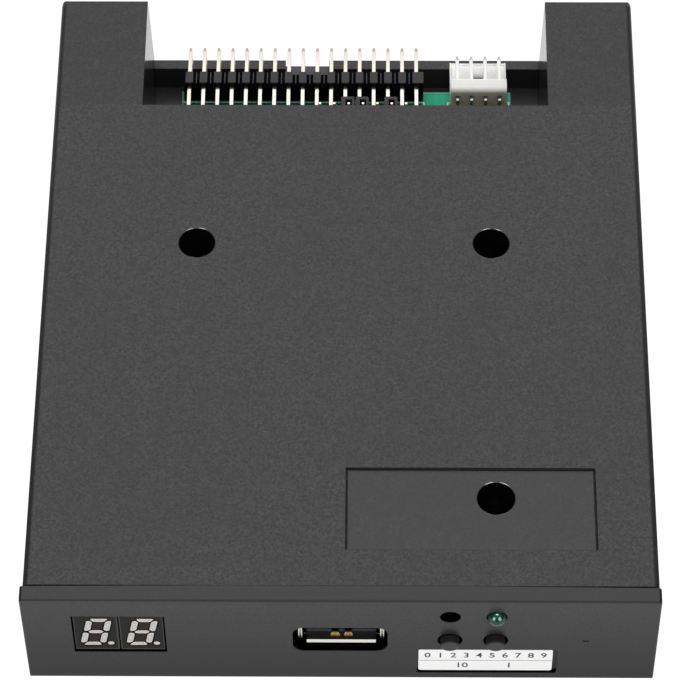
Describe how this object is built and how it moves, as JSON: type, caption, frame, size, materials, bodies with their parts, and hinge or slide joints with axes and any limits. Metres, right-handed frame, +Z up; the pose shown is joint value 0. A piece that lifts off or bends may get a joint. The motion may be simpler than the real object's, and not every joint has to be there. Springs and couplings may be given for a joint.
{
  "type": "floppy drive emulator",
  "caption": "Flat plastic drive-bay box: front bezel with USB socket, digit display, push buttons and lamp; rear notch with pin header, jumpers and power socket. Emulates a disk drive.",
  "frame": {"origin": "middle of the bottom of the whole box, lamp tip to rear edge, on the surface it rests on", "axes": "+X to the right seen from the front, +Y from the bezel to the rear connectors, +Z up"},
  "size_m": [0.1022, 0.1262, 0.0244],
  "materials": {
    "case_plastic": "fine moulded grain, satin",
    "bezel_plastic": "smooth moulded, satin",
    "black_plastic": "satin moulded",
    "button_plastic": "smooth moulded",
    "white_nylon": "translucent moulded nylon",
    "board_laminate": "green solder mask with white print",
    "gold_plate": "pale gold plating",
    "tin_plate": "bright tin plating",
    "steel": "zinc plated",
    "lamp_epoxy": "tinted clear epoxy",
    "digit_face": "printed dark grey",
    "segment_epoxy": "milky diffusing epoxy",
    "label_paper": "white self-adhesive paper",
    "wire_pvc": "soft PVC",
    "chip_epoxy": "moulded epoxy",
    "can_aluminium": "drawn can",
    "chip_ceramic": "fired ceramic"
  },
  "bodies": {
    "case": {"top_cover": "case_plastic", "bottom_tray": "case_plastic", "front_bezel": "bezel_plastic", "case_screws": "steel", "main_board": "board_laminate", "floppy_header_body": "black_plastic", "floppy_header_pins": "gold_plate", "jumper_header_body": "black_plastic", "jumper_header_pins": "gold_plate", "power_socket_body": "white_nylon", "power_socket_pins": "tin_plate", "usb_shell": "tin_plate", "usb_tongue": "black_plastic", "usb_contacts": "gold_plate", "switch_housings": "black_plastic", "switch_covers": "steel", "switch_discs": "steel", "switch_brackets": "tin_plate", "status_lamp": "lamp_epoxy", "status_lamp_leads": "tin_plate", "left_digit": "digit_face", "right_digit": "digit_face", "left_segments": "segment_epoxy", "right_segments": "segment_epoxy", "display_board": "board_laminate", "display_screws": "steel", "display_chip": "chip_epoxy", "display_connector": "white_nylon", "board_connector": "white_nylon", "display_wires": "wire_pvc", "front_label": "label_paper", "microcontroller": "chip_epoxy", "microcontroller_leads": "tin_plate", "buffer_chips": "chip_epoxy", "buffer_chip_leads": "tin_plate", "crystal_can": "can_aluminium", "voltage_regulator": "chip_epoxy", "electrolytic_capacitors": "can_aluminium", "chip_components": "chip_ceramic"},
    "left_button": {"left_button": "button_plastic"},
    "right_button": {"right_button": "button_plastic"},
    "jumper_cap_left": {"jumper_cap_left": "black_plastic"},
    "jumper_cap_middle": {"jumper_cap_middle": "black_plastic"},
    "jumper_cap_right": {"jumper_cap_right": "black_plastic"}
  },
  "joints": [
    {"name": "left_button_press", "type": "slide", "parent": "case", "child": "left_button", "axis": [0, 1, 0], "range_m": [0, 0.0003], "stiffness_N_per_m": 4000},
    {"name": "right_button_press", "type": "slide", "parent": "case", "child": "right_button", "axis": [0, 1, 0], "range_m": [0, 0.0003], "stiffness_N_per_m": 4000},
    {"name": "jumper_cap_left_pull", "type": "slide", "parent": "case", "child": "jumper_cap_left", "axis": [0, 0, 1], "range_m": [0, 0.009]},
    {"name": "jumper_cap_middle_pull", "type": "slide", "parent": "case", "child": "jumper_cap_middle", "axis": [0, 0, 1], "range_m": [0, 0.009]},
    {"name": "jumper_cap_right_pull", "type": "slide", "parent": "case", "child": "jumper_cap_right", "axis": [0, 0, 1], "range_m": [0, 0.009]}
  ]
}
